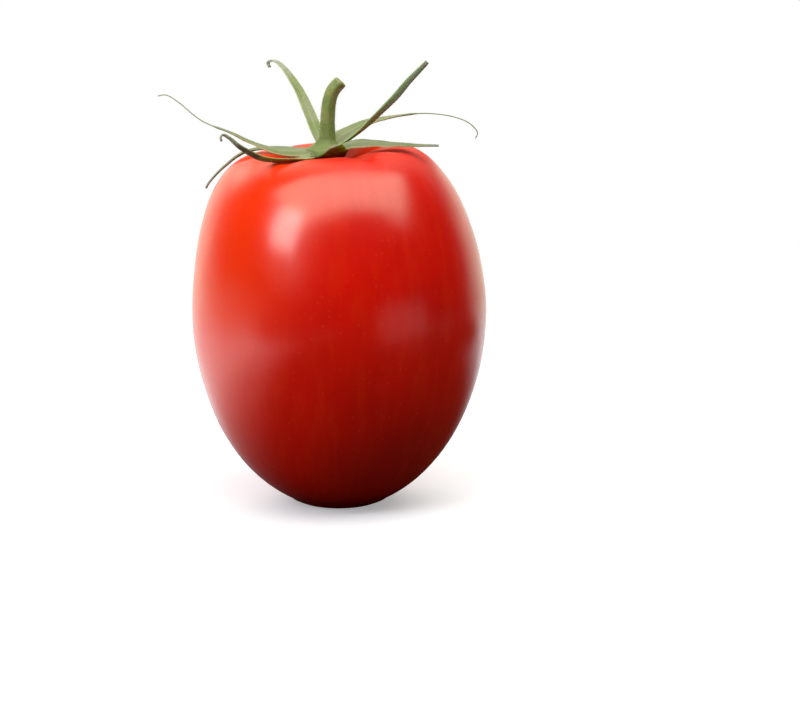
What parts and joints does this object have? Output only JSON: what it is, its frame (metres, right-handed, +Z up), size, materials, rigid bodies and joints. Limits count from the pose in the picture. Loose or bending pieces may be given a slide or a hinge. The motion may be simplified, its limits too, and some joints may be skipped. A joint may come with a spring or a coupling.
{
  "type": "plum tomato",
  "caption": "Ripe red plum tomato standing on its blossom end, with a withered green calyx of curling sepals and a short bent stem on top.",
  "frame": {"origin": "centre of the small flat spot under the blossom end, on the surface that the tomato stands on", "axes": "+Z up from the blossom end to the stem, +X to the side that the stem bends to, -Y the front, where one sepal is torn short"},
  "size_m": [0.0637, 0.0578, 0.0874],
  "materials": {
    "tomato_skin": "smooth, waxy, softly glossy",
    "calyx_green": "matt, finely hairy, withered at the tips"
  },
  "bodies": {
    "root": {"fruit": "tomato_skin", "calyx_and_stem": "calyx_green"}
  },
  "joints": []
}
